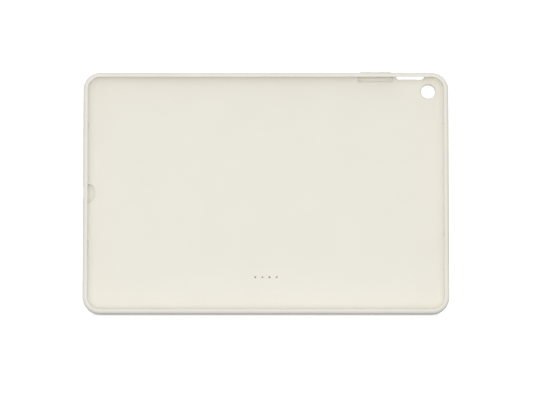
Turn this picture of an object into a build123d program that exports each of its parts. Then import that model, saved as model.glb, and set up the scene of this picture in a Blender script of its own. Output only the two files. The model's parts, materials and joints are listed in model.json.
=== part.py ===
from build123d import *
import os
from math import acos, atan2, cos, degrees, hypot, radians, sin

os.makedirs("parts", exist_ok=True)

# A moulded tray case for a tablet, standing on its long bottom edge and its open ring stand.
# Sizes are in millimetres. Places on the case are given as (across, up, out): across from its
# centre line, up its face from the bottom edge, and out of the pocket from its back face.

# the tablet that it holds, and the room left round it
tablet_width = 258.0
tablet_height = 169.0
tablet_depth = 8.1
tablet_gap = 0.25
tablet_depth_gap = 0.2

# walls, from the outside in: soft skin, stiff core, liner
skin = 1.3
core_wall = 1.25
core_floor = 3.0
liner = 0.5
lip_depth = 0.9
lip_overhang = 0.35
rim_cover = 1.7
corner_radius = 12.4
back_radius = 8.0
rim_radius = 2.9
lip_edge_radius = 0.35
pocket_radius = 6.0
back_edge_round = 0.4  # soft edges of the groove and the dock panel, in the back face
pad_edge_round = 0.15

# how far the case leans back, and how the ring stand opens
lean = 20.0
widest_opening = 105.0

# ring stand: a flat loop with a round shaft across its foot
ring_radius = 52.0
ring_band = 6.0
ring_depth = 2.6
ring_rise = 36.0
ring_edge_radius = 0.8
shaft_radius = 1.5
shaft_height = 11.0
shaft_out = 1.6
ring_gap = 0.5
ring_depth_gap = 0.3
swing_gap = 0.8
finger_notch_radius = 9.0

# friction clips that curl round two necks in the shaft
neck_radius = 1.0
neck_gap = 0.2
neck_play = 0.05
clip_offset = 20.0
clip_width = 6.0
clip_thickness = 0.5
clip_tang = 9.4
screw_radius = 0.5
screw_head_radius = 0.95
screw_head_height = 0.5
screw_clearance = 0.1
screw_rises = (3.8, 7.2)
plate_thickness = 0.6
plate_side_margin = 4.0
plate_start = 2.0
plate_corner = 1.5

# camera hole, from the case's right and top edges
camera_from_side = 14.5
camera_from_top = 12.9
camera_clear_radius = 4.9
camera_wall = 1.1
camera_bevel = 0.9

# volume key cover in the top wall
key_across = 79.6
key_length = 23.1
key_width = 4.2
key_proud = 0.8
key_setback = 0.9
key_gap = 0.3
key_flange = 0.8
key_flange_depth = 0.6
key_flange_gap = 0.6
key_relief_depth = 1.0
key_relief_reach = 3.2

# open slot in the top wall over the power key
power_across = 104.7
power_length = 20.7
power_low = 1.0
power_reach = 1.25
power_corner = 3.0

# port opening in the left wall, which runs on as a shallow dish in the floor for the plug's grip;
# the dish is rounded at its upper corner and slanted at its lower one
port_length = 13.6
port_dish = 1.6
port_corner = 3.8
port_reach = 5.4
port_dish_round = 4.0
port_dish_slant = 4.0

# speaker slots in both side walls, the lower right one longer
speaker_length = 17.4
speaker_long_length = 26.0
speaker_width = 3.4
speaker_offset = 42.5

# four sprung contacts in the floor, with flat pads behind them
contact_height = 27.3
contact_pitch = 5.15
contact_count = 4
block_side_margin = 4.6
block_height = 6.4
block_gap = 0.1
board_thickness = 0.3
barrel_radius = 0.95
barrel_bore_radius = 0.72
barrel_crimp_radius = 0.6
barrel_crimp_depth = 0.25
barrel_end = 0.2
pin_head_radius = 0.67
pin_head_depth = 0.5
pin_stem_radius = 0.54
pin_tip_radius = 0.3
pin_proud = 0.5
pin_head_gap = 0.05
liner_hole_radius = 0.75
spring_wire_radius = 0.07
spring_radius = 0.5
spring_turns = 4.0
spring_gap = 0.03
pad_radius = 1.35
pad_inset = 0.05

# sizes that follow
wall = skin + core_wall + liner
floor_depth = skin + core_floor + liner
pocket_width = tablet_width + 2 * tablet_gap
pocket_height = tablet_height + 2 * tablet_gap
case_width = pocket_width + 2 * wall
case_height = pocket_height + 2 * wall
case_depth = floor_depth + tablet_depth + tablet_depth_gap + lip_depth
core_top = case_depth - rim_cover
lip_start = case_depth - lip_depth
core_back = skin
core_face = skin + core_floor
middle = case_height / 2
shaft_end = (ring_radius**2 - ring_rise**2) ** 0.5 - ring_edge_radius
beyond = 20.0
end_flat = 0.01  # a rounded end keeps this sliver of straight side

# the stretch of the loop beside its shaft that still lies in the groove when the ring is open
foot_rise = 2 * shaft_out
foot_half_width = (ring_radius**2 - (ring_rise - foot_rise) ** 2) ** 0.5

# the case's own plane: level on the back face, with the bottom edge at its origin
lean_sin, lean_cos = sin(radians(lean)), cos(radians(lean))
edge_drop = back_radius * (lean_cos + lean_sin - 1)
shaft_rise = shaft_height * lean_cos + shaft_out * lean_sin - edge_drop
reach = ring_rise + ring_radius - ring_edge_radius
half_ring = ring_depth / 2 - ring_edge_radius
swing = acos((ring_edge_radius - shaft_rise) / hypot(reach, half_ring)) - atan2(half_ring, reach)
rest_opening = degrees(swing) - lean
front_reach = rim_radius * lean_sin - (case_depth - rim_radius) * lean_cos - rim_radius
shaft_back = shaft_height * lean_sin - shaft_out * lean_cos
foot_reach = shaft_back + reach * sin(swing) + half_ring * abs(cos(swing)) + ring_edge_radius
case_origin = Vector(0, -(front_reach + foot_reach) / 2, -edge_drop)
case_plane = Plane(origin=case_origin, x_dir=(1, 0, 0), z_dir=(0, -lean_cos, lean_sin))
out_axis = Axis(case_origin, case_plane.z_dir)
up_axis = Axis(case_origin, case_plane.y_dir)

# the ring's plane, in which it lies whether closed or open, through the shaft's axis
hinge_point = case_plane.from_local_coords(Vector(0, shaft_height, shaft_out))
ring_plane = Plane(origin=hinge_point, x_dir=(1, 0, 0), z_dir=(0, -cos(swing), sin(swing)))
shaft_plane = Plane(origin=hinge_point, x_dir=case_plane.y_dir, z_dir=(1, 0, 0))


def level(out):
    return case_plane.offset(out)


def top_level(across, up, out):
    # a plane that faces up the case, for what goes through its top wall
    point = case_plane.from_local_coords(Vector(across, up, out))
    return Plane(origin=point, x_dir=(1, 0, 0), z_dir=case_plane.y_dir)


def side_level(across, up, out):
    # a plane that faces across the case, for what goes through its side walls
    point = case_plane.from_local_coords(Vector(across, up, out))
    return Plane(origin=point, x_dir=case_plane.y_dir, z_dir=(1, 0, 0))


def save(piece, name):
    piece.part.label = name
    export_step(piece.part, f"parts/{name}.step")


def tray_block(margin, low, high, back_edge):
    # a slab with the case's outline set in by margin, and its back edge rounded
    with BuildPart() as block:
        with BuildSketch(level(low)):
            with Locations((0, middle)):
                RectangleRounded(
                    case_width - 2 * margin, case_height - 2 * margin, corner_radius - margin
                )
        extrude(amount=high - low)
        if back_edge:
            fillet(block.faces().sort_by(out_axis)[0].edges(), back_edge)
    return block.part


def wall_cut(plane, length, width, corner, depth):
    # a rounded bar through a wall, both ways from its plane by depth
    with BuildPart() as cutter:
        with BuildSketch(plane):
            RectangleRounded(length, width, corner)
        extrude(amount=depth, both=True)
    return cutter.part


def port_bar():
    # the port opening as a bar through the left wall, joined to the dish in the floor
    wall_face = -case_width / 2 + wall
    with BuildPart() as bar:
        with BuildSketch(side_level(wall_face - 2 * wall, middle, (port_out + core_top) / 2)):
            RectangleRounded(port_length, core_top - port_out, port_corner)
        extrude(amount=2 * wall)
        with BuildSketch(level(port_out)) as dish:
            with Locations((wall_face, middle)):
                Rectangle(port_reach, port_length, align=(Align.MIN, Align.CENTER))
            upper_corner = dish.vertices().group_by(Axis.X)[-1].sort_by(Axis.Y)[-1]
            fillet(upper_corner, port_dish_round)
            lower_corner = dish.vertices().group_by(Axis.X)[-1].sort_by(Axis.Y)[0]
            chamfer(lower_corner, port_dish_slant)
        extrude(amount=core_top - port_out)
    return bar.part


def ring_cut(outside, low, high):
    # the loop's outline as it lies closed, made larger by outside, with the finger notch
    with BuildPart() as cutter:
        with BuildSketch(level(low)):
            with Locations((0, shaft_height + ring_rise)):
                Circle(ring_radius + outside)
            with Locations((0, shaft_height - shaft_radius - swing_gap)):
                Rectangle(
                    case_width, case_height, align=(Align.CENTER, Align.MIN), mode=Mode.INTERSECT
                )
            with Locations((0, shaft_height - shaft_radius - swing_gap)):
                Rectangle(
                    2 * (foot_half_width + outside),
                    shaft_radius + swing_gap + foot_rise,
                    align=(Align.CENTER, Align.MIN),
                )
            with Locations((0, shaft_height + ring_rise + ring_radius)):
                Circle(finger_notch_radius)
        extrude(amount=high - low)
    return cutter.part


def panel_block(inside, low, high):
    # the area that the closed loop goes round, smaller than the loop by inside
    with BuildPart() as block:
        with BuildSketch(level(low)) as outline:
            with Locations((0, shaft_height + ring_rise)):
                Circle(ring_radius - ring_band - inside)
            with Locations((0, shaft_height + shaft_radius + inside)):
                Rectangle(
                    case_width, case_height, align=(Align.CENTER, Align.MIN), mode=Mode.INTERSECT
                )
            fillet(outline.vertices(), plate_corner)
        extrude(amount=high - low)
    return block.part


# openings that the skin, core and liner share
camera_across = case_width / 2 - camera_from_side
camera_up = case_height - camera_from_top
key_out = floor_depth + tablet_depth / 2
power_out = (power_low + core_top) / 2
port_out = floor_depth - port_dish
camera_bezel_radius = camera_clear_radius + camera_wall
contact_spots = [
    (index - (contact_count - 1) / 2) * contact_pitch for index in range(contact_count)
]

power_cut = wall_cut(
    top_level(power_across, case_height, power_out),
    power_length,
    core_top - power_low,
    power_corner,
    wall + power_reach,
)
speakers = [
    (-1, -speaker_offset, speaker_length),
    (-1, speaker_offset, speaker_length),
    (1, -speaker_offset, speaker_long_length),
    (1, speaker_offset, speaker_length),
]
speaker_cuts = [
    wall_cut(
        side_level(side * case_width / 2, middle + offset, key_out),
        length,
        speaker_width,
        speaker_width / 2 - end_flat,
        wall + pocket_radius,
    )
    for side, offset, length in speakers
]
shared_cuts = [power_cut, port_bar(), *speaker_cuts]


def camera_cut(radius):
    with BuildPart() as cutter:
        with BuildSketch(level(-beyond)):
            with Locations((camera_across, camera_up)):
                Circle(radius)
        extrude(amount=case_depth + beyond)
    return cutter.part


def key_cut(room):
    # the key's window, run on through the round between the pocket's wall and floor
    return wall_cut(
        top_level(key_across, case_height, key_out),
        key_length + 2 * room,
        key_width + 2 * room,
        key_width / 2 + room - end_flat,
        wall + pocket_radius,
    )


def key_relief():
    # a shallow trough below the key's window, along the edge of the pocket's floor
    low = floor_depth - key_relief_depth
    with BuildPart() as trough:
        with BuildSketch(level(low)):
            with Locations((key_across, case_height - wall - key_relief_reach / 2)):
                Rectangle(key_length + 2 * (key_gap + key_flange), key_relief_reach)
        extrude(amount=key_out - low)
    return trough.part


# outer_skin: the soft cover over the back and sides, turned in over the rim as a lip
with BuildPart() as outer_skin:
    add(tray_block(0, 0, case_depth, back_radius))
    front = outer_skin.faces().sort_by(out_axis)[-1]
    fillet(front.edges(), rim_radius)
    add(tray_block(skin, core_back, core_top, back_radius - skin), mode=Mode.SUBTRACT)
    add(tray_block(wall, core_top, lip_start, 0), mode=Mode.SUBTRACT)
    add(tray_block(wall + lip_overhang, lip_start, case_depth, 0), mode=Mode.SUBTRACT)
    inner_rim = outer_skin.faces().sort_by(out_axis)[-1]
    fillet(inner_rim.inner_wires().edges(), lip_edge_radius)
    for cutter in shared_cuts:
        add(cutter, mode=Mode.SUBTRACT)
    add(camera_cut(camera_bezel_radius), mode=Mode.SUBTRACT)
    add(key_cut(key_gap), mode=Mode.SUBTRACT)
    add(ring_cut(ring_gap, -beyond, core_back), mode=Mode.SUBTRACT)
    groove_edges = outer_skin.faces().sort_by(out_axis)[0].inner_wires().edges()
    fillet(groove_edges, back_edge_round)
save(outer_skin, "outer_skin")

# core_tray: the stiff tray inside the skin, with the ring's groove and the hinge's seats
block_width = contact_spots[-1] - contact_spots[0] + block_side_margin
clip_spots = (-clip_offset, clip_offset)
clip_seat = clip_width + 2 * neck_gap
plate_width = 2 * clip_offset + clip_width + 2 * plate_side_margin
plate_height = clip_tang + screw_clearance - plate_start + shaft_radius
plate_middle = shaft_height + plate_start + plate_height / 2
tang_out = shaft_out + neck_radius + neck_play + clip_thickness
groove_face = shaft_out + ring_depth / 2 + ring_depth_gap
with BuildPart() as core_tray:
    add(tray_block(skin, core_back, core_top, back_radius - skin))
    add(tray_block(skin + core_wall, core_face, core_top, pocket_radius + liner), mode=Mode.SUBTRACT)
    for cutter in shared_cuts:
        add(cutter, mode=Mode.SUBTRACT)
    add(camera_cut(camera_bezel_radius), mode=Mode.SUBTRACT)
    add(key_cut(key_gap + key_flange), mode=Mode.SUBTRACT)
    add(key_relief(), mode=Mode.SUBTRACT)
    # the groove is the loop's whole outline less the raised area inside it
    groove = ring_cut(ring_gap, core_back, groove_face)
    add(groove - panel_block(ring_gap, core_back, groove_face), mode=Mode.SUBTRACT)
    with BuildSketch(shaft_plane.offset(-ring_radius)):
        Circle(shaft_radius + ring_depth_gap)
    extrude(amount=2 * ring_radius, mode=Mode.SUBTRACT)
    with BuildSketch(level(core_back)):
        for spot in clip_spots:
            with Locations((spot, shaft_height)):
                Rectangle(clip_seat, clip_tang + neck_gap, align=(Align.CENTER, Align.MIN))
    extrude(amount=tang_out - core_back, mode=Mode.SUBTRACT)
    with BuildSketch(level(core_back)):
        for spot in clip_spots:
            for rise in screw_rises:
                with Locations((spot, shaft_height + rise)):
                    Circle(screw_radius + screw_clearance)
    extrude(amount=core_floor, mode=Mode.SUBTRACT)
    with BuildSketch(level(core_face - plate_thickness)):
        with Locations((0, plate_middle)):
            RectangleRounded(plate_width, plate_height, plate_corner)
    extrude(amount=plate_thickness, mode=Mode.SUBTRACT)
    with BuildSketch(level(core_back)):
        with Locations((0, contact_height)):
            RectangleRounded(
                block_width + 2 * block_gap, block_height + 2 * block_gap, plate_corner
            )
    extrude(amount=core_floor, mode=Mode.SUBTRACT)
save(core_tray, "core_tray")

# pocket_liner: the thin lining of the pocket's floor and walls
with BuildPart() as pocket_liner:
    add(tray_block(skin + core_wall, core_face, core_top, pocket_radius + liner))
    add(tray_block(wall, floor_depth, core_top, pocket_radius), mode=Mode.SUBTRACT)
    for cutter in shared_cuts:
        add(cutter, mode=Mode.SUBTRACT)
    add(camera_cut(camera_bezel_radius), mode=Mode.SUBTRACT)
    add(key_cut(key_gap + key_flange), mode=Mode.SUBTRACT)
    add(key_relief(), mode=Mode.SUBTRACT)
    with BuildSketch(level(core_face)):
        with Locations(*[(spot, contact_height) for spot in contact_spots]):
            Circle(liner_hole_radius)
    extrude(amount=liner, mode=Mode.SUBTRACT)
save(pocket_liner, "pocket_liner")

# camera_bezel: the ring that lines the camera hole, bevelled towards the pocket
with BuildPart() as camera_bezel:
    with BuildSketch(level(0)):
        with Locations((camera_across, camera_up)):
            Circle(camera_bezel_radius)
            Circle(camera_clear_radius, mode=Mode.SUBTRACT)
    extrude(amount=floor_depth)
    pocket_side = camera_bezel.faces().sort_by(out_axis)[-1]
    chamfer(pocket_side.inner_wires().edges(), camera_bevel)
save(camera_bezel, "camera_bezel")

# dock_panel: the hard panel inside the ring, which a dock meets, over the hinge and contacts
with BuildPart() as dock_panel:
    add(panel_block(ring_gap, 0, skin))
    fillet(dock_panel.faces().sort_by(out_axis)[0].edges(), back_edge_round)
    with BuildSketch(level(0)):
        with Locations(*[(spot, contact_height) for spot in contact_spots]):
            Circle(pad_radius)
    extrude(amount=skin, mode=Mode.SUBTRACT)
    pad_edges = dock_panel.faces().sort_by(out_axis)[0].inner_wires().edges()
    fillet(pad_edges, pad_edge_round)
save(dock_panel, "dock_panel")

# stand_ring: the loop, with a round shaft across its foot and two necks for the clips
with BuildPart() as stand_ring:
    with BuildSketch(ring_plane.offset(-ring_depth / 2)):
        with Locations((0, ring_rise)):
            Circle(ring_radius)
            Circle(ring_radius - ring_band, mode=Mode.SUBTRACT)
        Rectangle(case_width, case_height, align=(Align.CENTER, Align.MIN), mode=Mode.INTERSECT)
    extrude(amount=ring_depth)
    rims = stand_ring.edges().filter_by(GeomType.CIRCLE)
    fillet(rims, ring_edge_radius)
    with BuildSketch(shaft_plane.offset(-shaft_end)):
        Circle(shaft_radius)
    extrude(amount=2 * shaft_end)
    for spot in clip_spots:
        with BuildSketch(shaft_plane.offset(spot - clip_seat / 2)):
            Circle(2 * shaft_radius)
            Circle(neck_radius, mode=Mode.SUBTRACT)
        extrude(amount=clip_seat, mode=Mode.SUBTRACT)
save(stand_ring, "stand_ring")

# friction clips: spring steel curled round the shaft's necks, each with a tang and two holes
clip_sides = ("left", "right")
for side, spot in zip(clip_sides, clip_spots):
    with BuildPart() as friction_clip:
        with BuildSketch(shaft_plane.offset(spot - clip_width / 2)):
            Circle(neck_radius + neck_play + clip_thickness)
        extrude(amount=clip_width)
        with BuildSketch(level(tang_out - clip_thickness)):
            with Locations((spot, shaft_height)):
                Rectangle(clip_width, clip_tang, align=(Align.CENTER, Align.MIN))
        extrude(amount=clip_thickness)
        with BuildSketch(shaft_plane.offset(spot - clip_width / 2)):
            Circle(neck_radius + neck_play)
        extrude(amount=clip_width, mode=Mode.SUBTRACT)
        with BuildSketch(level(tang_out - clip_thickness)):
            with Locations(*[(spot, shaft_height + rise) for rise in screw_rises]):
                Circle(screw_radius)
        extrude(amount=clip_thickness, mode=Mode.SUBTRACT)
    save(friction_clip, f"friction_clip_{side}")

# hinge_plate: the steel plate under the liner that the clips are screwed to
screw_spots = [(spot, shaft_height + rise) for spot in clip_spots for rise in screw_rises]
plate_back = core_face - plate_thickness
with BuildPart() as hinge_plate:
    with BuildSketch(level(plate_back)):
        with Locations((0, plate_middle)):
            RectangleRounded(plate_width, plate_height, plate_corner)
        with Locations(*screw_spots):
            Circle(screw_radius, mode=Mode.SUBTRACT)
    extrude(amount=plate_thickness)
save(hinge_plate, "hinge_plate")

# hinge_screws: four small pan-head screws through the tangs into the plate
with BuildPart() as hinge_screws:
    screw_seat = tang_out - clip_thickness
    with BuildSketch(level(screw_seat - screw_head_height)):
        with Locations(*screw_spots):
            Circle(screw_head_radius)
    extrude(amount=screw_head_height)
    with BuildSketch(level(screw_seat)):
        with Locations(*screw_spots):
            Circle(screw_radius)
    extrude(amount=core_face - screw_clearance - screw_seat)
save(hinge_screws, "hinge_screws")

# contact_block: the moulded insert that holds the four contact barrels
barrel_back = core_back + board_thickness
with BuildPart() as contact_block:
    with BuildSketch(level(barrel_back)):
        with Locations((0, contact_height)):
            RectangleRounded(block_width, block_height, plate_corner - block_gap)
        with Locations(*[(spot, contact_height) for spot in contact_spots]):
            Circle(barrel_radius, mode=Mode.SUBTRACT)
    extrude(amount=core_face - barrel_back)
save(contact_block, "contact_block")

# contact_board: the thin circuit board that joins the barrels to the pads behind them
with BuildPart() as contact_board:
    with BuildSketch(level(core_back)):
        with Locations((0, contact_height)):
            RectangleRounded(block_width, block_height, plate_corner - block_gap)
    extrude(amount=board_thickness)
save(contact_board, "contact_board")

# contact_barrels: four plain tubes, closed behind and crimped in front round the pins' stems
with BuildPart() as contact_barrels:
    with BuildSketch(level(barrel_back)):
        with Locations(*[(spot, contact_height) for spot in contact_spots]):
            Circle(barrel_radius)
    extrude(amount=core_face - barrel_back)
    with BuildSketch(level(barrel_back + barrel_end)):
        with Locations(*[(spot, contact_height) for spot in contact_spots]):
            Circle(barrel_bore_radius)
    extrude(
        amount=core_face - barrel_crimp_depth - barrel_back - barrel_end, mode=Mode.SUBTRACT
    )
    with BuildSketch(level(barrel_back + barrel_end)):
        with Locations(*[(spot, contact_height) for spot in contact_spots]):
            Circle(barrel_crimp_radius)
    extrude(amount=core_face - barrel_back - barrel_end, mode=Mode.SUBTRACT)
save(contact_barrels, "contact_barrels")

# contact_pads: four flat pads in the dock panel
with BuildPart() as contact_pads:
    with BuildSketch(level(pad_inset)):
        with Locations(*[(spot, contact_height) for spot in contact_spots]):
            Circle(pad_radius)
    extrude(amount=skin - pad_inset)
save(contact_pads, "contact_pads")

# contact pins and their springs, one of each in every barrel
pin_head_top = core_face - barrel_crimp_depth - pin_head_gap
pin_head_back = pin_head_top - pin_head_depth
pin_tip = floor_depth + pin_proud
spring_start = barrel_back + barrel_end + spring_gap + spring_wire_radius
spring_length = pin_head_back - spring_gap - spring_wire_radius - spring_start
for number, spot in enumerate(contact_spots, start=1):
    with BuildPart() as contact_pin:
        with BuildSketch(level(pin_head_back)):
            with Locations((spot, contact_height)):
                Circle(pin_head_radius)
        extrude(amount=pin_head_depth)
        with BuildSketch(level(pin_head_top)):
            with Locations((spot, contact_height)):
                Circle(pin_stem_radius)
        extrude(amount=pin_tip - pin_head_top)
        fillet(contact_pin.faces().sort_by(out_axis)[-1].edges(), pin_tip_radius)
    save(contact_pin, f"contact_pin_{number}")

    spring_foot = case_plane.from_local_coords(Vector(spot, contact_height, spring_start))
    coil = Helix(
        pitch=spring_length / spring_turns,
        height=spring_length,
        radius=spring_radius,
        center=spring_foot,
        direction=case_plane.z_dir,
    )
    with BuildPart() as contact_spring:
        with BuildSketch(Plane(origin=coil @ 0, z_dir=coil % 0)):
            Circle(spring_wire_radius)
        sweep(path=coil, is_frenet=True)
    save(contact_spring, f"contact_spring_{number}")

# volume_key_pad: the key cover, with a flange inside that keeps it in its window
with BuildPart() as volume_key_pad:
    pad_foot = case_height - wall + key_setback
    flange_foot = case_height - skin - key_flange_gap - key_flange_depth
    with BuildSketch(top_level(key_across, pad_foot, key_out)):
        RectangleRounded(key_length, key_width, key_width / 2 - end_flat)
    extrude(amount=case_height + key_proud - pad_foot)
    fillet(volume_key_pad.faces().sort_by(up_axis)[-1].edges(), key_gap)
    with BuildSketch(top_level(key_across, flange_foot, key_out)):
        RectangleRounded(
            key_length + 2 * (key_flange - key_gap),
            key_width + 2 * (key_flange - key_gap),
            key_width / 2 + key_flange - key_gap - end_flat,
        )
    extrude(amount=key_flange_depth)
save(volume_key_pad, "volume_key_pad")

# the hinge's facts, for the record
print("case", round(case_width, 3), round(case_height, 3), round(case_depth, 3))
print("ring open at rest by", round(rest_opening, 3), "of", widest_opening)
print("hinge axis at", [round(value, 4) for value in hinge_point])
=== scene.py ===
import json
import math

import bmesh
import bpy
import numpy as np
from mathutils import Matrix, Vector


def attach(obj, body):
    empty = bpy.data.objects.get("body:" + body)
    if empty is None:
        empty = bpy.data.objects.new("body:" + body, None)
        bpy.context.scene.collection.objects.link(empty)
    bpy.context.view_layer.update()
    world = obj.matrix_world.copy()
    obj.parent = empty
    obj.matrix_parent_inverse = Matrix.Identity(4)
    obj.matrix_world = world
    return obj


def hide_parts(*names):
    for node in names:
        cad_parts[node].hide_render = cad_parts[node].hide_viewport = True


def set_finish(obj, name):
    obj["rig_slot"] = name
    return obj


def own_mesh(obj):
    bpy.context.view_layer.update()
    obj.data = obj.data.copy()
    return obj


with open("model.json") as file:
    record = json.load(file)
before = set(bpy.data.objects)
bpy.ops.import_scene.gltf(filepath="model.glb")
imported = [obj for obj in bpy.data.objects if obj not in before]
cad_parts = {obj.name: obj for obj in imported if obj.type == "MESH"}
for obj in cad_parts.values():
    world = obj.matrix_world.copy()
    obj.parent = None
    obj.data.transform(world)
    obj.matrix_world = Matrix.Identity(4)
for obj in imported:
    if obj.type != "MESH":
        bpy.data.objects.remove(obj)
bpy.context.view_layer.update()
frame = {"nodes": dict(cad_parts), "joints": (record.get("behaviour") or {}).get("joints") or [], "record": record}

nodes = frame["nodes"]
record = frame["record"]

# where things are, all worked out from the frame
mounts = {mount["name"]: mount for mount in record["mounts"]}
joints = {joint["name"]: joint for joint in frame["joints"]}
acrossWay = np.array((1.0, 0.0, 0.0))
outWay = np.array(mounts["tablet_seat"]["axis"], float)  # out of the pocket
upWay = np.cross(outWay, acrossWay)  # up the case's face
caseAxes = np.array((acrossWay, upWay, outWay))
seatPoint = np.array(mounts["tablet_seat"]["pos_m"], float)  # middle of the pocket's floor


def pointsOf(nodeName):
    mesh = nodes[nodeName].data
    flat = np.empty(len(mesh.vertices) * 3)
    mesh.vertices.foreach_get("co", flat)
    return flat.reshape(-1, 3)


# a place on the case is (across, up, out) from the middle of its bottom edge at the back face
skinLow = (pointsOf("outer_skin") @ caseAxes.T).min(0)
caseStart = np.array((0.0, skinLow[1], skinLow[2]))


def toCase(points):
    return np.asarray(points, float) @ caseAxes.T - caseStart


def toFrame(places):
    return (np.asarray(places, float) + caseStart) @ caseAxes


def caseBox(nodeName):
    places = toCase(pointsOf(nodeName))
    return places.min(0), places.max(0)


def closedGrid(rows, columns):
    # squares between neighbouring rows, each row running round to its own start
    row, column = np.meshgrid(np.arange(rows - 1), np.arange(columns), indexing="ij")
    nextColumn = (column + 1) % columns
    squares = (row * columns + column, row * columns + nextColumn,
               (row + 1) * columns + nextColumn, (row + 1) * columns + column)
    return np.stack([side.ravel() for side in squares], axis=1)


def repeatedFaces(faces, pointCount, copies):
    # the faces of several copies of one shape, whose points follow one another
    return np.concatenate([faces + i * pointCount for i in range(copies)])


caseLow, caseHigh = caseBox("outer_skin")
print("frame read: the case is", np.round((caseHigh - caseLow) * 1000, 2), "mm")


# the camera, which stands a little lower than square to the case's face
cameraView = {
    "belowNormal": 6.0,  # degrees that the camera stands below the face's own normal
    "distance": 2.8,
    "lens": 261.93,
    "sensor": 36.0,
    "aimDown": 0.00533,  # the case sits a little above the middle of the view
    "aimRight": 0.0004,
    "rimOut": 0.0092,  # from the pocket's floor out to the rim
    "nearest": 0.05,
    "farthest": 20.0,
}


def makeCamera(settings):
    lean = math.atan2(-outWay[1], outWay[2])  # angle of the face's normal from straight up
    tilt = lean + math.radians(settings["belowNormal"])
    back = np.array((0, -math.sin(tilt), math.cos(tilt)))
    pictureUp = np.array((0, math.cos(tilt), math.sin(tilt)))
    middle = seatPoint + outWay * settings["rimOut"]
    data = bpy.data.cameras.new("studioCamera")
    data.lens = settings["lens"]
    data.sensor_width = settings["sensor"]
    data.clip_start = settings["nearest"]
    data.clip_end = settings["farthest"]
    camera = bpy.data.objects.new("studioCamera", data)
    aim = middle - pictureUp * settings["aimDown"] + acrossWay * settings["aimRight"]
    camera.location = aim + back * settings["distance"]
    camera.rotation_mode = "QUATERNION"
    camera.rotation_quaternion = Vector(-back).to_track_quat("-Z", "Y")
    bpy.context.scene.collection.objects.link(camera)
    bpy.context.scene.camera = camera
    return middle


faceMiddle = makeCamera(cameraView)
print("camera made")


# the studio: a soft sky, three softboxes, a pale floor and a white wall far round it
studio = {
    "skyBelow": 0.05,  # strength of the surrounding light from straight below, and from above
    "skyAbove": 0.68,
    "skyRise": (-1.0, -0.1),  # heights of a direction, from -1 to 1, between which it grows
    "paleColor": (0.92, 0.92, 0.92, 1),
    "floorGlow": 0.5,
    "floorRoughness": 0.9,
    "floorSize": 16.0,
    "wallGlow": 1.0,
    "wallRoughness": 0.5,
    "wallRadius": 7.5,
    "wallHigh": 6.0,
    "wallSides": 128,
    "topSoftbox": {"size": 1.6, "power": 1.2, "place": (0.0, -0.5, 1.7)},
    "frontSoftbox": {"size": 1.0, "power": 14.6, "place": (-0.1, -1.9, 0.5)},
    "backSoftbox": {"size": 1.4, "power": 22.0, "place": (0.6, 2.2, 0.6)},
}


def makeWorld(settings):
    world = bpy.data.worlds.new("studioWorld")
    bpy.context.scene.world = world
    world.use_nodes = True
    tree = world.node_tree
    background = tree.nodes["Background"]
    background.inputs["Color"].default_value = (1, 1, 1, 1)
    # the light grows smoothly from dim straight below to full just under the horizon
    coords = tree.nodes.new("ShaderNodeTexCoord")
    parts = tree.nodes.new("ShaderNodeSeparateXYZ")
    rise = tree.nodes.new("ShaderNodeMapRange")
    rise.interpolation_type = "SMOOTHSTEP"
    rise.inputs["From Min"].default_value = settings["skyRise"][0]
    rise.inputs["From Max"].default_value = settings["skyRise"][1]
    rise.inputs["To Min"].default_value = settings["skyBelow"]
    rise.inputs["To Max"].default_value = settings["skyAbove"]
    tree.links.new(coords.outputs["Generated"], parts.inputs[0])
    tree.links.new(parts.outputs["Z"], rise.inputs["Value"])
    tree.links.new(rise.outputs["Result"], background.inputs["Strength"])


def makeLight(name, settings, target):
    data = bpy.data.lights.new(name, "AREA")
    data.shape = "SQUARE"
    data.size = settings["size"]
    data.energy = settings["power"]
    light = bpy.data.objects.new(name, data)
    light.location = settings["place"]
    light.rotation_mode = "QUATERNION"
    light.rotation_quaternion = (Vector(target) - light.location).to_track_quat("-Z", "Y")
    bpy.context.scene.collection.objects.link(light)


makeWorld(studio)
for lightName in ("topSoftbox", "frontSoftbox", "backSoftbox"):
    makeLight(lightName, studio[lightName], faceMiddle)
bpy.context.scene.view_settings.view_transform = "Standard"


def makePaleSurface(name, places, faces, settings, glow, roughness):
    # the camera sees it, but it throws no light at the case and doesn't show in its gloss
    mesh = bpy.data.meshes.new(name)
    mesh.from_pydata(places.tolist(), [], faces)
    surface = bpy.data.objects.new(name, mesh)
    bpy.context.scene.collection.objects.link(surface)
    material = bpy.data.materials.new(name)
    material.use_nodes = True
    shader = material.node_tree.nodes["Principled BSDF"]
    shader.inputs["Base Color"].default_value = settings["paleColor"]
    shader.inputs["Roughness"].default_value = roughness
    shader.inputs["Emission Color"].default_value = (1, 1, 1, 1)
    shader.inputs["Emission Strength"].default_value = glow
    mesh.materials.append(material)
    surface.visible_diffuse = False
    surface.visible_glossy = False
    return surface


def makeFloor(settings):
    half = settings["floorSize"] / 2
    corners = np.array([(-1, -1), (1, -1), (1, 1), (-1, 1)]) * half
    places = np.column_stack([corners, np.zeros(len(corners))])
    floor = makePaleSurface("studioFloor", places, [(0, 1, 2, 3)], settings,
                            settings["floorGlow"], settings["floorRoughness"])


def makeBackdrop(settings):
    # an upright round wall, (radius cos g, radius sin g, height), seen only as a white surround
    angle = np.linspace(0, 2 * np.pi, settings["wallSides"], endpoint=False)
    ring = np.column_stack([np.cos(angle), np.sin(angle)]) * settings["wallRadius"]
    heights = np.repeat((0.0, settings["wallHigh"]), len(ring))
    places = np.column_stack([np.vstack([ring, ring]), heights])
    backdrop = makePaleSurface("studioBackdrop", places, closedGrid(2, len(ring)).tolist(), settings,
                               settings["wallGlow"], settings["wallRoughness"])
    backdrop.visible_shadow = False


makeFloor(studio)
makeBackdrop(studio)
print("studio made")


# new pieces, all worked out as whole arrays; each joins newPieces as it is made
newPieces = []
mergeDistance = 1e-6  # points nearer than this become one


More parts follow.
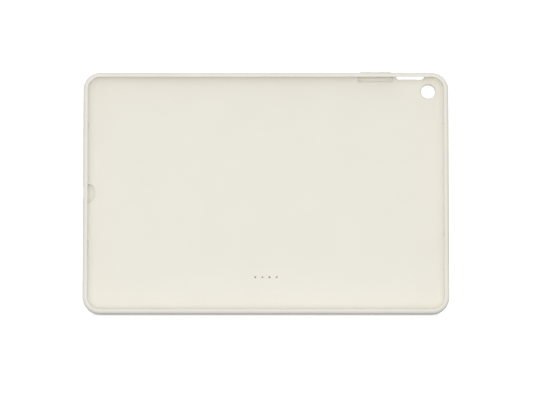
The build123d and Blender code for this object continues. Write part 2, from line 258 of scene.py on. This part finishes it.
def addPiece(name, places, faces, slotName, body, replaced, sharpAngle=40, brush=None):
    # points that meet are merged, which closes seams and poles, and faces turn outwards; an
    # edge sharper than the angle, in degrees, stays crisp; brush is a coordinate for each
    # point, which a brushed finish follows
    mesh = bpy.data.meshes.new(name)
    mesh.from_pydata(places.tolist(), [], faces.tolist())
    if brush is not None:
        layer = mesh.attributes.new("brush", "FLOAT_VECTOR", "POINT")
        layer.data.foreach_set("vector", np.ascontiguousarray(brush, np.float32).ravel())
    shell = bmesh.new()
    shell.from_mesh(mesh)
    bmesh.ops.remove_doubles(shell, verts=shell.verts, dist=mergeDistance)
    bmesh.ops.recalc_face_normals(shell, faces=shell.faces)
    shell.to_mesh(mesh)
    shell.free()
    mesh.shade_smooth()
    mesh.set_sharp_from_angle(angle=math.radians(sharpAngle))
    piece = bpy.data.objects.new(name, mesh)
    bpy.context.scene.collection.objects.link(piece)
    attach(piece, body)
    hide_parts(*replaced)
    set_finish(piece, slotName)
    newPieces.append(piece)
    return piece


def softCorners(corners, rounds, steps=6):
    # each corner becomes a curve P = (1-t)(1-t)A + 2t(1-t)C + t*t*B, from A to B, which lie
    # either side of the corner C by its round; a round of nothing leaves the corner sharp
    corners = np.array(corners, float)
    rounds = np.broadcast_to(np.array(rounds, float), len(corners))[:, None]
    before = np.roll(corners, 1, axis=0) - corners
    after = np.roll(corners, -1, axis=0) - corners
    a = corners + before / np.linalg.norm(before, axis=1, keepdims=True) * rounds
    b = corners + after / np.linalg.norm(after, axis=1, keepdims=True) * rounds
    t = np.linspace(0, 1, steps)[:, None, None]
    curve = (1 - t) ** 2 * a + 2 * t * (1 - t) * corners + t**2 * b
    return curve.transpose(1, 0, 2).reshape(-1, 2)


def turnedPlaces(profile, centre, segments):
    # a point of the profile (radius, out) at angle g is centre + (radius cos g, radius sin g)
    angle = np.linspace(0, 2 * np.pi, segments, endpoint=False)
    radius, out = profile[:, 0, None], profile[:, 1, None]
    across = centre[0] + radius * np.cos(angle)
    up = centre[1] + radius * np.sin(angle)
    return np.stack([across, up, out + 0 * across], axis=-1).reshape(-1, 3)


def turnedPiece(name, profile, centres, segments, slotName, body, replaced):
    # the same turned shape at each centre, as one piece
    places = [turnedPlaces(profile, centre, segments) for centre in centres]
    faces = repeatedFaces(closedGrid(len(profile), segments), len(places[0]), len(centres))
    addPiece(name, toFrame(np.concatenate(places)), faces, slotName, body, replaced)


# camera bezel, a turned ring whose front slopes in to the hole
bezel = {"bevel": 0.9e-3, "frontRound": 0.25e-3, "backRound": 0.3e-3, "edgeRound": 0.04e-3,
         "segments": 144}


def makeBezel(settings):
    low, high = caseBox("camera_bezel")
    centre = (low[:2] + high[:2]) / 2
    outer = (high[0] - low[0]) / 2
    inner = mounts["camera_hole"]["dims"]["r_mm"] / 1000
    front = high[2]
    corners = [(outer, 0), (outer, front), (inner + settings["bevel"], front),
               (inner, front - settings["bevel"]), (inner, 0)]
    edge, back = settings["edgeRound"], settings["backRound"]
    profile = softCorners(corners, (back, edge, edge, settings["frontRound"], back))
    profile = np.vstack([profile, profile[:1]])
    turnedPiece("cameraBezel", profile, [centre], settings["segments"],
                "bezel", "case", ["camera_bezel"])


makeBezel(bezel)


# sprung contact pins, and the flat pads at the back, each dished inside a flat rim
contactNumbers = range(1, 5)
contacts = {"headRadius": 0.67e-3, "headDepth": 0.5e-3, "stemRadius": 0.54e-3,
            "tipRound": 0.42e-3, "headRound": 0.08e-3, "neckRound": 0.02e-3, "segments": 40,
            "padRound": 0.12e-3, "padDish": 0.10e-3, "dishRound": 0.08e-3, "rimRound": 0.06e-3,
            "padLand": 0.8,  # share of the pad's radius where its rim begins
            "dishFloor": 0.85}  # share of that radius over which the dish is flat


def makeContacts(settings):
    # turned profiles: a headed pin with a domed tip, and a dished disc
    pinCentres = []
    for number in contactNumbers:
        low, high = caseBox(f"contact_pin_{number}")
        centre = (low[:2] + high[:2]) / 2
        head, stem = settings["headRadius"], settings["stemRadius"]
        neck = low[2] + settings["headDepth"]
        corners = [(0, low[2]), (head, low[2]), (head, neck), (stem, neck),
                   (stem, high[2]), (0, high[2])]
        rounds = (0, settings["headRound"], settings["headRound"], settings["neckRound"],
                  settings["tipRound"], 0)
        turnedPiece(f"contactPin{number}", softCorners(corners, rounds), [centre],
                    settings["segments"], "contact_metal", f"pin_{number}", [f"contact_pin_{number}"])
        pinCentres.append(centre)
    low, high = caseBox("contact_pads")
    radius = (high[1] - low[1]) / 2
    land = radius * settings["padLand"]
    dish = low[2] + settings["padDish"]
    corners = [(0, dish), (land * settings["dishFloor"], dish), (land, low[2]),
               (radius, low[2]), (radius, high[2]), (0, high[2])]
    rounds = (0, settings["dishRound"], settings["rimRound"], settings["padRound"],
              settings["padRound"], 0)
    turnedPiece("contactPads", softCorners(corners, rounds), pinCentres,
                settings["segments"], "contact_metal", "case", ["contact_pads"])


makeContacts(contacts)


# the springs behind the pins, which shorten as their pins press in
contactSpring = {"wireRadius": 0.07e-3, "turns": 4.0, "endEase": 0.3, "samples": 240, "around": 12}


def makeContactSprings(settings):
    # a round wire carried along a helix, (R cos g, R sin g, rise), whose rise is gentler at both
    # ends: rise = share - k sin(2 pi share) / (2 pi), where share goes from 0 to 1
    wire = settings["wireRadius"]
    share = np.linspace(0, 1, settings["samples"])
    turn = share * 2 * np.pi * settings["turns"]
    rise = share - settings["endEase"] * np.sin(2 * np.pi * share) / (2 * np.pi)
    section = np.linspace(0, 2 * np.pi, settings["around"], endpoint=False)
    for number in contactNumbers:
        low, high = caseBox(f"contact_spring_{number}")
        middle = (low + high) / 2
        radius = (high[0] - low[0]) / 2 - wire
        length = high[2] - low[2]
        outward = np.stack([np.cos(turn), np.sin(turn), 0 * turn], axis=-1)
        line = outward * radius
        line[:, 2] = low[2] + wire + rise * (length - 2 * wire)
        ahead = np.gradient(line, axis=0)
        ahead = ahead / np.linalg.norm(ahead, axis=1, keepdims=True)
        sideways = np.cross(ahead, outward)
        size = np.full((len(share), 1, 1), wire)
        size[[0, -1]] = 0  # the wire's ends close to a point
        roundWire = (outward[:, None] * np.cos(section)[:, None]
                     + sideways[:, None] * np.sin(section)[:, None])
        places = line[:, None] + size * roundWire + np.array((middle[0], middle[1], 0))
        piece = addPiece(f"contactSpring{number}", toFrame(places.reshape(-1, 3)),
                         closedGrid(len(share), len(section)), "spring_steel", "case",
                         [f"contact_spring_{number}"])
        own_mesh(piece)


makeContactSprings(contactSpring)
print("bezel and contacts made")


# volume key cover, a long pad on a wider flange
volumeKey = {"flangeOver": 0.5e-3, "flangeDepth": 0.6e-3, "edgeRound": 0.15e-3,
             "topRound": 0.5e-3, "dip": 0.16e-3, "dipSpread": 3.2e-3, "perEnd": 24,
             "perSide": 40, "perCorner": 8, "perTop": 7}


def makeVolumeKey(settings):
    # outlines with round ends, one above another: each is (half width, height), and a half
    # width of nothing closes the piece along its middle line
    low, high = caseBox("volume_key_pad")
    middle = (low + high) / 2
    flange = (high[2] - low[2]) / 2
    pad = flange - settings["flangeOver"]
    straight = (high[0] - low[0]) / 2 - flange
    shelf = low[1] + settings["flangeDepth"]
    crown = high[1] - settings["dip"] / 2
    corners = [(0, low[1]), (flange, low[1]), (flange, shelf), (pad, shelf), (pad, crown), (0, high[1])]
    edge, steps = settings["edgeRound"], settings["perCorner"]
    profile = softCorners(corners, (0, edge, edge, edge, settings["topRound"], 0), steps=steps)
    # the last corner's points all fall on the middle line, so a straight run in to it replaces
    # them, which gives the top enough points for its dip
    rise = np.linspace(0, 1, settings["perTop"])[1:-1, None]
    top = profile[-steps - 1] * (1 - rise) + np.array(corners[-1]) * rise
    profile = np.vstack([profile[:-steps], top, corners[-1:]])
    turn = np.linspace(-np.pi / 2, np.pi / 2, settings["perEnd"])
    side = np.linspace(1, -1, settings["perSide"])[1:-1]
    endAcross, endOut = np.cos(turn), np.sin(turn)
    shareAcross = np.concatenate([endAcross, 0 * side, -endAcross, 0 * side])
    shareOut = np.concatenate([endOut, 1 + 0 * side, -endOut, -1 + 0 * side])
    along = np.concatenate([1 + 0 * turn, side, -1 + 0 * turn, -side]) * straight
    across = middle[0] + along + profile[:, 0, None] * shareAcross
    out = middle[2] + profile[:, 0, None] * shareOut
    up = profile[:, 1, None] + 0 * across
    onTop = np.clip((up - crown + settings["dip"]) / settings["dip"], 0, 1)
    # the finger dip at the middle is a bell curve along the key, deepest half way
    bell = np.exp(-(((across - middle[0]) / settings["dipSpread"]) ** 2))
    up = up - settings["dip"] * onTop * bell
    places = np.stack([across, up, out], axis=-1).reshape(-1, 3)
    addPiece("volumeKeyCover", toFrame(places), closedGrid(len(profile), across.shape[1]),
             "soft_skin", "volume_key", ["volume_key_pad"])


makeVolumeKey(volumeKey)
print("volume key made")


# ring stand, a flat band bent round, which narrows to a round shaft at its foot
ringStand = {"band": 6.0e-3, "depth": 2.6e-3, "neckRadius": 1.0e-3, "neckWidth": 6.4e-3,
             "neckAcross": 20.0e-3, "neckEase": 0.2e-3, "squareness": 5.0, "blend": 7.0e-3,
             "shaftShare": 0.99,  # necks are cut only where the profile is this much shaft
             "bendSpread": 2.5e-3, "samples": 1400, "around": 40, "sharpAngle": 50,
             "brushAlong": 25, "brushAcross": 3000}


def makeRingStand(settings):
    # a closed path of a round arc and a straight foot, with a profile carried along it that goes
    # from a flat band, |x/a|^n + |y/b|^n = 1 with a high n, to a round shaft, where n is 2
    hinge = joints["ring_hinge"]
    pivot = np.array(hinge["pos_m"], float)
    # the ring stands open, and its own up is the case's, turned by the angle it is open
    opened = Matrix.Rotation(math.radians(-hinge["range_deg"][0]), 3, Vector(hinge["axis"]))
    riseWay = np.array(opened @ Vector(upWay))
    faceWay = np.cross(acrossWay, riseWay)
    onRing = (pointsOf("stand_ring") - pivot) @ np.array((acrossWay, riseWay, faceWay)).T
    outer = (onRing[:, 0].max() - onRing[:, 0].min()) / 2
    centreRise = onRing[:, 1].max() - outer
    shaftRadius = onRing[:, 2].max()
    radius = outer - settings["band"] / 2
    footAngle = math.asin(centreRise / radius)
    arcLength = radius * (np.pi + 2 * footAngle)
    footHalf = radius * math.cos(footAngle)
    length = arcLength + 2 * footHalf
    # the distance walked along the path, anticlockwise round the arc and then along the foot
    walked = np.linspace(0, length, settings["samples"], endpoint=False)
    onArc = walked < arcLength
    angle = -footAngle + walked / radius
    across = np.where(onArc, radius * np.cos(angle), -footHalf + (walked - arcLength))
    rise = np.where(onArc, centreRise + radius * np.sin(angle), 0.0)
    # the two corners are softened by averaging the path over a short bell-shaped window
    gap = np.minimum(walked, length - walked)
    window = np.exp(-((gap / settings["bendSpread"]) ** 2))
    average = np.fft.fft(window / window.sum())
    across = np.fft.ifft(np.fft.fft(across) * average).real
    rise = np.fft.ifft(np.fft.fft(rise) * average).real
    aheadAcross = np.roll(across, -1) - np.roll(across, 1)
    aheadRise = np.roll(rise, -1) - np.roll(rise, 1)
    size = np.hypot(aheadAcross, aheadRise)
    sideAcross, sideRise = aheadRise / size, -aheadAcross / size
    # share of the shaft: nothing on the band, one along the foot, eased over the blend
    intoFoot = np.minimum(walked - arcLength, length - walked)
    share = np.clip(intoFoot / settings["blend"] + 0.5, 0, 1)
    share = share * share * (3 - 2 * share)
    onShaft = share > settings["shaftShare"]
    fromNeck = np.abs(np.abs(across) - settings["neckAcross"]) - settings["neckWidth"] / 2
    neck = np.clip(0.5 - fromNeck / settings["neckEase"], 0, 1) * onShaft
    thick = shaftRadius + (settings["neckRadius"] - shaftRadius) * neck
    halfBand = settings["band"] / 2 * (1 - share) + thick * share
    halfDepth = settings["depth"] / 2 * (1 - share) + thick * share
    power = 2 / (settings["squareness"] * (1 - share) + 2 * share)
    turn = np.linspace(0, 2 * np.pi, settings["around"], endpoint=False)
    cosTurn, sinTurn = np.cos(turn), np.sin(turn)
    sideways = halfBand[:, None] * np.sign(cosTurn) * np.abs(cosTurn) ** power[:, None]
    facing = halfDepth[:, None] * np.sign(sinTurn) * np.abs(sinTurn) ** power[:, None]
    points = (pivot + (across[:, None] + sideways * sideAcross[:, None])[..., None] * acrossWay
              + (rise[:, None] + sideways * sideRise[:, None])[..., None] * riseWay
              + facing[..., None] * faceWay)
    points = np.concatenate([points, points[:1]]).reshape(-1, 3)
    # the finish is brushed round the ring: it changes slowly along the path, fast across it
    slow, fast = settings["brushAlong"], settings["brushAcross"]
    brush = np.stack([slow * across[:, None] + fast * sideways, slow * rise[:, None] + fast * facing,
                      fast * (sideways - facing)], axis=-1)
    brush = np.concatenate([brush, brush[:1]]).reshape(-1, 3)
    addPiece("standRing", points, closedGrid(settings["samples"] + 1, settings["around"]),
             "ring_metal", "ring", ["stand_ring"], sharpAngle=settings["sharpAngle"], brush=brush)


makeRingStand(ringStand)
print("ring stand made")


# friction clips, each a strip of spring steel that curls round a neck of the shaft
frictionClip = {"thickness": 0.5e-3, "edgeRound": 0.12e-3, "perEdge": 4, "perCurl": 90, "perTang": 24,
                "curlFrom": -245, "curlTo": 90}  # degrees round the neck, from up the case towards out


def makeFrictionClips(settings):
    # the middle line is an arc of a circle that runs on as a straight tang; a rounded rectangle,
    # as wide as the clip, is carried along it
    shaftUp, shaftOut = toCase([joints["ring_hinge"]["pos_m"]])[0, 1:]
    half = settings["thickness"] / 2
    for side in ("left", "right"):
        low, high = caseBox(f"friction_clip_{side}")
        radius = shaftUp - low[1] - half
        turn = np.radians(np.linspace(settings["curlFrom"], settings["curlTo"], settings["perCurl"]))
        tang = np.linspace(0, high[1] - shaftUp, settings["perTang"])[1:]
        lineUp = np.concatenate([radius * np.cos(turn), tang])
        lineOut = np.concatenate([radius * np.sin(turn), radius + 0 * tang])
        sideUp = np.concatenate([np.cos(turn), 0 * tang])
        sideOut = np.concatenate([np.sin(turn), 1 + 0 * tang])
        wide = (high[0] - low[0]) / 2
        corners = [(-wide, -half), (wide, -half), (wide, half), (-wide, half)]
        section = softCorners(corners, settings["edgeRound"], steps=settings["perEdge"])
        # the strip's first and last sections shrink to a point, which closes its ends
        scale = np.ones((len(lineUp) + 2, 1))
        scale[[0, -1]] = 0
        order = np.concatenate([[0], np.arange(len(lineUp)), [len(lineUp) - 1]])
        across = (low[0] + high[0]) / 2 + section[None, :, 0] * scale
        lift = section[None, :, 1] * scale
        up = shaftUp + lineUp[order, None] + sideUp[order, None] * lift
        out = shaftOut + lineOut[order, None] + sideOut[order, None] * lift
        places = np.stack([across + 0 * up, up, out], axis=-1).reshape(-1, 3)
        addPiece(f"frictionClip{side.capitalize()}", toFrame(places),
                 closedGrid(len(order), len(section)), "spring_steel", "case",
                 [f"friction_clip_{side}"])


makeFrictionClips(frictionClip)


# hinge screws, pan heads with a cross recess
hingeScrew = {"shankRadius": 0.5e-3, "headHeight": 0.5e-3, "headRound": 0.22e-3, "tipRound": 0.12e-3,
              "crossWide": 0.13e-3, "crossLong": 0.52e-3, "crossDeep": 0.3e-3, "crossEase": 0.06e-3,
              "neckRound": 0.06e-3, "rings": 30, "segments": 96}


def makeHingeScrews(settings):
    # a turned profile, with the head's face pressed in where a point is near one of the two
    # crossed lines: depth = deep * ease(wide - the lesser of |x|, |y|) * ease(long - the greater)
    low, high = caseBox("hinge_screws")
    places = toCase(pointsOf("hinge_screws"))
    onHead = places[places[:, 2] < low[2] + settings["headHeight"] / 2]
    middle = (low + high) / 2
    # the four screws stand at the corners of a rectangle about the middle
    nearest = onHead[(onHead[:, 0] > middle[0]) & (onHead[:, 1] > middle[1])]
    corner = (nearest.min(0) + nearest.max(0)) / 2
    headRadius = (nearest[:, 0].max() - nearest[:, 0].min()) / 2
    neck = low[2] + settings["headHeight"]
    corners = [(headRadius, low[2]), (headRadius, neck), (settings["shankRadius"], neck),
               (settings["shankRadius"], high[2]), (0, high[2])]
    neckRound = settings["neckRound"]
    profile = softCorners(corners, (settings["headRound"], neckRound, neckRound, settings["tipRound"], 0))
    face = np.linspace(0, profile[0, 0], settings["rings"], endpoint=False)
    profile = np.vstack([np.column_stack([face, low[2] + 0 * face]), profile])
    angle = np.linspace(0, 2 * np.pi, settings["segments"], endpoint=False)
    x = profile[:, 0, None] * np.cos(angle)
    y = profile[:, 0, None] * np.sin(angle)
    ease = settings["crossEase"]
    nearLine = np.clip((settings["crossWide"] - np.minimum(abs(x), abs(y))) / ease + 0.5, 0, 1)
    nearMiddle = np.clip((settings["crossLong"] - np.maximum(abs(x), abs(y))) / ease + 0.5, 0, 1)
    onFace = profile[:, 1, None] < low[2] + ease
    out = profile[:, 1, None] + settings["crossDeep"] * nearLine * nearMiddle * onFace
    shell = np.stack([x, y, out], axis=-1).reshape(-1, 3)
    faces = closedGrid(len(profile), settings["segments"])
    reachAcross, reachUp = corner[0] - middle[0], corner[1] - middle[1]
    centres = [(middle[0] + right * reachAcross, middle[1] + above * reachUp, 0)
               for right in (-1, 1) for above in (-1, 1)]
    places = np.concatenate([shell + np.array(centre) for centre in centres])
    addPiece("hingeScrews", toFrame(places), repeatedFaces(faces, len(shell), len(centres)),
             "screw_steel", "case", ["hinge_screws"])


makeHingeScrews(hingeScrew)
print("clips and screws made")


# materials
noiseDetail = {"cloud": 3.0, "grain": 2.0}
noiseEnds = (0.3, 0.7)  # noise values at which a finish reaches its one end and its other
specularLevel = 0.35


def addNode(tree, kind, **values):
    # each value is a setting of the node, or the number on one of its sockets
    node = tree.nodes.new(kind)
    for key, value in values.items():
        if hasattr(node, key):
            setattr(node, key, value)
        else:
            node.inputs[key].default_value = value
    return node


def mouldedMaterial(name, finish):
    # mottled colour from two noises, with a fine grain in the bump and in the roughness
    material = bpy.data.materials.new(name)
    material.use_nodes = True
    tree = material.node_tree
    shader = tree.nodes["Principled BSDF"]
    coords = addNode(tree, "ShaderNodeTexCoord")
    cloud = addNode(tree, "ShaderNodeTexNoise", Scale=finish["cloudScale"], Detail=noiseDetail["cloud"])
    grain = addNode(tree, "ShaderNodeTexNoise", Scale=finish["grainScale"], Detail=noiseDetail["grain"])
    tree.links.new(coords.outputs["Object"], cloud.inputs["Vector"])
    if finish.get("brushed"):
        follow = addNode(tree, "ShaderNodeAttribute", attribute_name="brush")
        tree.links.new(follow.outputs["Vector"], grain.inputs["Vector"])
    else:
        tree.links.new(coords.outputs["Object"], grain.inputs["Vector"])
    shade = addNode(tree, "ShaderNodeValToRGB")
    stops = shade.color_ramp.elements
    for stop, position, key in zip(stops, noiseEnds, ("darkColor", "lightColor")):
        stop.position = position
        stop.color = (*finish[key], 1)
    mix = addNode(tree, "ShaderNodeMix", data_type="FLOAT")
    mix.inputs[0].default_value = finish["grainInColor"]  # 0 is the factor, 2 and 3 what it mixes
    tree.links.new(cloud.outputs["Fac"], mix.inputs[2])
    tree.links.new(grain.outputs["Fac"], mix.inputs[3])
    tree.links.new(mix.outputs[0], shade.inputs["Fac"])
    tree.links.new(shade.outputs["Color"], shader.inputs["Base Color"])
    rough = addNode(tree, "ShaderNodeMapRange")
    rough.inputs["From Min"].default_value, rough.inputs["From Max"].default_value = noiseEnds
    rough.inputs["To Min"].default_value = finish["roughness"] - finish["roughnessSpread"]
    rough.inputs["To Max"].default_value = finish["roughness"] + finish["roughnessSpread"]
    tree.links.new(grain.outputs["Fac"], rough.inputs["Value"])
    tree.links.new(rough.outputs["Result"], shader.inputs["Roughness"])
    bump = addNode(tree, "ShaderNodeBump", Strength=finish["bump"], Distance=finish["bumpHeight"])
    tree.links.new(grain.outputs["Fac"], bump.inputs["Height"])
    tree.links.new(bump.outputs["Normal"], shader.inputs["Normal"])
    shader.inputs["Metallic"].default_value = finish.get("metallic", 0.0)
    shader.inputs["Specular IOR Level"].default_value = specularLevel
    return material


finishes = {
    "soft_skin": {"darkColor": (0.800, 0.780, 0.700), "lightColor": (0.835, 0.815, 0.735),
                  "cloudScale": 40, "grainScale": 2600, "grainInColor": 0.3, "roughness": 0.62,
                  "roughnessSpread": 0.05, "bump": 0.25, "bumpHeight": 0.00004},
    "stiff_core": {"darkColor": (0.760, 0.740, 0.660), "lightColor": (0.790, 0.770, 0.690),
                   "cloudScale": 40, "grainScale": 2600, "grainInColor": 0.3, "roughness": 0.55,
                   "roughnessSpread": 0.05, "bump": 0.2, "bumpHeight": 0.00003},
    "lining": {"darkColor": (0.805, 0.780, 0.700), "lightColor": (0.830, 0.805, 0.725),
               "cloudScale": 30, "grainScale": 3200, "grainInColor": 0.4, "roughness": 0.75,
               "roughnessSpread": 0.05, "bump": 0.3, "bumpHeight": 0.00004},
    "bezel": {"darkColor": (0.820, 0.795, 0.715), "lightColor": (0.840, 0.820, 0.740),
              "cloudScale": 60, "grainScale": 3200, "grainInColor": 0.2, "roughness": 0.45,
              "roughnessSpread": 0.04, "bump": 0.15, "bumpHeight": 0.00003},
    "panel": {"darkColor": (0.780, 0.760, 0.690), "lightColor": (0.810, 0.790, 0.715),
              "cloudScale": 40, "grainScale": 2400, "grainInColor": 0.3, "roughness": 0.5,
              "roughnessSpread": 0.05, "bump": 0.2, "bumpHeight": 0.00003},
    "ring_metal": {"darkColor": (0.740, 0.700, 0.640), "lightColor": (0.800, 0.765, 0.705),
                   "cloudScale": 60, "grainScale": 1.0, "grainInColor": 0.6, "roughness": 0.34,
                   "roughnessSpread": 0.10, "bump": 0.25, "bumpHeight": 0.00002, "metallic": 1.0,
                   "brushed": True},
    "spring_steel": {"darkColor": (0.50, 0.50, 0.51), "lightColor": (0.60, 0.60, 0.61),
                     "cloudScale": 200, "grainScale": 5000, "grainInColor": 0.5, "roughness": 0.3,
                     "roughnessSpread": 0.08, "bump": 0.1, "bumpHeight": 0.00001, "metallic": 1.0},
    "plate_steel": {"darkColor": (0.45, 0.45, 0.46), "lightColor": (0.56, 0.56, 0.57),
                    "cloudScale": 150, "grainScale": 4000, "grainInColor": 0.5, "roughness": 0.4,
                    "roughnessSpread": 0.08, "bump": 0.1, "bumpHeight": 0.00001, "metallic": 1.0},
    "screw_steel": {"darkColor": (0.35, 0.35, 0.36), "lightColor": (0.45, 0.45, 0.46),
                    "cloudScale": 200, "grainScale": 5000, "grainInColor": 0.5, "roughness": 0.3,
                    "roughnessSpread": 0.08, "bump": 0.1, "bumpHeight": 0.00001, "metallic": 1.0},
    "contact_moulding": {"darkColor": (0.020, 0.020, 0.021), "lightColor": (0.035, 0.035, 0.036),
                         "cloudScale": 200, "grainScale": 4000, "grainInColor": 0.5,
                         "roughness": 0.5, "roughnessSpread": 0.06, "bump": 0.2,
                         "bumpHeight": 0.00002},
    "board": {"darkColor": (0.010, 0.060, 0.025), "lightColor": (0.015, 0.085, 0.035),
              "cloudScale": 300, "grainScale": 4000, "grainInColor": 0.5, "roughness": 0.4,
              "roughnessSpread": 0.06, "bump": 0.2, "bumpHeight": 0.00001},
    # painted shade: contact_metal is dull plated brass, made darker than the real metal to stand in for the shadow
    # inside the pins' holes
    "contact_metal": {"darkColor": (0.26, 0.22, 0.15), "lightColor": (0.38, 0.32, 0.22),
                      "cloudScale": 400, "grainScale": 6000, "grainInColor": 0.5, "roughness": 0.28,
                      "roughnessSpread": 0.06, "bump": 0.1, "bumpHeight": 0.00001, "metallic": 1.0},
}

materials = {slot: mouldedMaterial(slot, finish) for slot, finish in finishes.items()}
slotOf = {subpart["node"]: subpart["material_slot"] for subpart in record["subparts"]}
for nodeName, node in nodes.items():
    for place in node.material_slots:
        place.material = materials[slotOf[nodeName]]
for piece in newPieces:
    piece.data.materials.append(materials[piece["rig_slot"]])
print("materials made:", len(materials))
